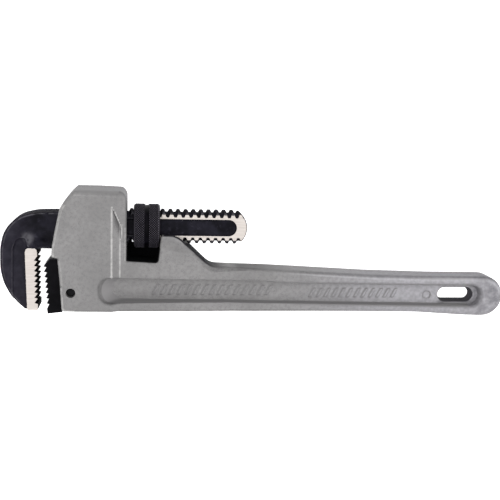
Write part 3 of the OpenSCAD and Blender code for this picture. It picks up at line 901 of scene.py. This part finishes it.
def forged_steel():
    """Black forged steel with bright ground faces on the tooth block and along the shank."""
    s = Shader("forged_steel")
    x, y, z = s.position()
    scale = s.noise(260, 6, 0.6)
    patch = s.noise(70, 5, 0.6)
    fine = s.noise(1400, 3, 0.6)
    dark = s.mix(s.spread(patch, 0.35, 0.68), (0.0022, 0.002, 0.0036), (0.0105, 0.0098, 0.0155))
    dark = s.mix(s.spread(scale, 0.55, 0.75), dark, (0.022, 0.0205, 0.029))
    # painted light makes the outer bow of the hook paler, painted shade is black between the teeth, and
    # edges are worn with painted highlights
    painted_light_bow = s.mix(s.spread(patch, 0.3, 0.7), (0.008, 0.0072, 0.0115), (0.021, 0.0195, 0.027))
    dark = s.mix(s.spread(x, -0.150, -0.166), dark, painted_light_bow)
    teeth = s.times(s.within(x, -0.1537, -0.1492), s.spread(s.facing_z(), 0.8, 0.5))
    teeth = s.times(teeth, s.math("LESS_THAN", y, (BLOCK_TOP_Y - 0.5) * MM))
    dark = s.mix(teeth, dark, (0.0008, 0.0008, 0.001))
    edge = s.spread(s.attribute("edge_wear_and_highlight"), 0.2, 0.85)
    edge = s.times(edge, s.spread(s.facing_z(), 0.35, 0.8, 0.2, 1.0), s.spread(scale, 0.3, 0.6))
    dark = s.mix(edge, dark, (0.062, 0.06, 0.068))
    lines = s.noise(900, 2, 0.5, (0.12, 3.0, 1.0))
    bright = s.mix(s.spread(lines, 0.3, 0.7), (0.40, 0.365, 0.34), (0.47, 0.435, 0.41))
    bright = s.mix(s.spread(s.noise(120, 4, 0.6), 0.66, 0.8), bright, (0.32, 0.29, 0.27))
    ground = ground_faces(s, x, y, s.off_middle(z))
    color = s.mix(ground, dark, bright)
    side = s.spread(s.facing_z(), 0.75, 0.4)
    rough = s.lerp(side, s.spread(scale, 0.3, 0.7, 0.38, 0.55), s.spread(patch, 0.3, 0.7, 0.8, 0.95))
    rough = s.lerp(ground, rough, s.spread(lines, 0.3, 0.7, 0.34, 0.46))
    skin = s.math("ADD", scale, s.math("MULTIPLY", fine, 0.25))
    s.bump(s.lerp(ground, skin, s.math("MULTIPLY", lines, 0.08)), 0.5, 0.00022)
    return s.finish(color, rough, s.lerp(ground, 0.05, 0.1), 0.045)


def black_steel(name, low, high, worn, roughness):
    """Blackened steel, mottled between low and high, with worn edges."""
    s = Shader(name)
    patch = s.noise(160, 5, 0.6)
    fine = s.noise(1100, 3, 0.6)
    color = s.mix(s.spread(patch, 0.35, 0.68), low, high)
    edge = s.spread(s.attribute("edge_wear_and_highlight"), 0.15, 0.8)
    color = s.mix(s.times(edge, s.spread(fine, 0.25, 0.5, 0.5, 1.0)), color, worn)
    rough = s.spread(patch, 0.3, 0.7, roughness - 0.06, roughness + 0.08)
    s.bump(s.math("ADD", patch, s.math("MULTIPLY", fine, 0.4)), 0.3, 0.00015)
    return s.finish(color, rough, 0.1, 0.03)


def floor_paper():
    """Pale paper, lit from behind so that the wrench throws almost no shadow."""
    s = Shader("floor_paper")
    shade = s.mix(s.spread(s.noise(30, 3, 0.5), 0.3, 0.7), (0.66, 0.66, 0.66), (0.68, 0.68, 0.68))
    s.bump(s.noise(900, 2, 0.5), 0.05, 0.0001)
    s.surface.inputs["Emission Color"].default_value = (1.0, 1.0, 1.0, 1.0)
    s.surface.inputs["Emission Strength"].default_value = 0.95
    return s.finish(shade, s.spread(s.noise(60, 2, 0.5), 0.3, 0.7, 0.85, 0.9), 0.0, 0.2)


# ---------------------------------------------------------------- the object


def dress(obj, material, body, slot, *nodes):
    """Gives a new piece its material and body, and hides the CAD nodes it stands for.
    The slot argument is not used.
    """
    obj.data.materials.append(material)
    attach(obj, body)
    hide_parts(*nodes)


ALLOY = cast_alloy()
FORGED = forged_steel()
JAW_STEEL = black_steel("jaw_steel", (0.0015, 0.0014, 0.002), (0.004, 0.0038, 0.0048),
                        (0.02, 0.019, 0.023), 0.46)
NUT_STEEL = black_steel("nut_steel", (0.001, 0.0009, 0.0016), (0.0035, 0.0031, 0.005),
                        (0.095, 0.088, 0.105), 0.42)
PIN_STEEL = black_steel("pin_steel", (0.004, 0.004, 0.0046), (0.008, 0.008, 0.009),
                        (0.06, 0.06, 0.062), 0.35)
SPRING_STEEL = black_steel("spring_steel", (0.05, 0.05, 0.058), (0.08, 0.08, 0.09),
                           (0.14, 0.14, 0.15), 0.34)

FINE = 1.0
casting = field_object("frame_casting", frame_field, FRAME_LOW, FRAME_HIGH, 0.7 * FINE,
                       casting_wear_and_highlights, casting_painted_shade)
dress(casting, ALLOY, "frame_body", "cast_alloy", "handle_frame")
hook = field_object("hook_forging", hook_field, HOOK_LOW, HOOK_HIGH, 0.42 * FINE, hook_wear_and_highlights)
dress(hook, FORGED, "hook_body", "forged_steel", "hook_jaw")
heel = field_object("heel_insert", heel_field, HEEL_LOW, HEEL_HIGH, 0.4 * FINE)
dress(heel, JAW_STEEL, "frame_body", "jaw_steel", "heel_jaw")
nut = knurled_nut()
dress(nut, NUT_STEEL, "nut_body", "nut_steel", "adjusting_nut")

pin_length = PIN_HIGH[2] - PIN_LOW[2]
pin_r = (PIN_HIGH[0] - PIN_LOW[0]) / 2
pin_end = [(0.02, 0.25), (pin_r - 1.2, 0.15), (pin_r - 0.5, 0.1), (pin_r, 0.6)]
pin_profile = pin_end + [(r, pin_length - height) for r, height in reversed(pin_end)]
pin = lathe("heel_pin", pin_profile, (PIN_X, PIN_Y, PIN_LOW[2]), 64)
dress(pin, PIN_STEEL, "frame_body", "pin_steel", "heel_jaw_pin")

# the pieces inside the housing keep their CAD shapes
INNER_PIECES = [("flat_spring", SPRING_STEEL), ("spring_rivet", PIN_STEEL), ("coil_spring", SPRING_STEEL)]
for node, material in INNER_PIECES:
    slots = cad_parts[node].data.materials
    for i in range(len(slots)):
        slots[i] = material

# ---------------------------------------------------------------- floor, light and camera

FLOOR_SIZE = 30.0
bpy.ops.mesh.primitive_plane_add(size=FLOOR_SIZE, location=(0, 0, FRAME_LOW[2] * MM))
floor = bpy.context.object
floor.name = "floor"
floor.data.materials.append(floor_paper())

world = bpy.data.worlds.new("studio")
bpy.context.scene.world = world
world.use_nodes = True
background = world.node_tree.nodes["Background"]
background.inputs["Color"].default_value = (1.0, 1.0, 1.0, 1.0)
background.inputs["Strength"].default_value = 0.6


def softbox(name, place, aim, size, power):
    """Square area light that points from its place at aim; size in metres, power in watts."""
    light = bpy.data.lights.new(name, "AREA")
    light.shape = "SQUARE"
    light.size = size
    light.energy = power
    obj = bpy.data.objects.new(name, light)
    obj.location = place
    obj.rotation_euler = (Vector(aim) - Vector(place)).to_track_quat("-Z", "Y").to_euler()
    bpy.context.scene.collection.objects.link(obj)


softbox("key", (-0.7, 0.1, 1.1), (0, 0, 0), 1.0, 6.0)
softbox("fill", (1.1, 0.0, 0.7), (-0.05, 0, 0), 1.0, 11.0)
softbox("top", (0.0, 0.0, 1.5), (0, 0, 0), 2.4, 26.0)

# above the wrench, leaning a little; place in metres, turns about Y, X and Z in degrees
CAMERA_PLACE = (-0.07955, 0.1065, 0.5824)
CAMERA_TURNS = (-7.2785, -10.4465, 1.9383)
camera_data = bpy.data.cameras.new("camera")
camera_data.lens = 60.0
camera_data.sensor_width = 36.0
camera_data.clip_start, camera_data.clip_end = 0.01, 100.0
camera = bpy.data.objects.new("camera", camera_data)
bpy.context.scene.collection.objects.link(camera)
yaw, pitch, roll = (math.radians(a) for a in CAMERA_TURNS)
turn = Matrix.Rotation(yaw, 4, "Y") @ Matrix.Rotation(pitch, 4, "X") @ Matrix.Rotation(roll, 4, "Z")
camera.matrix_world = Matrix.Translation(Vector(CAMERA_PLACE)) @ turn
bpy.context.scene.camera = camera
bpy.context.scene.view_settings.view_transform = "Standard"
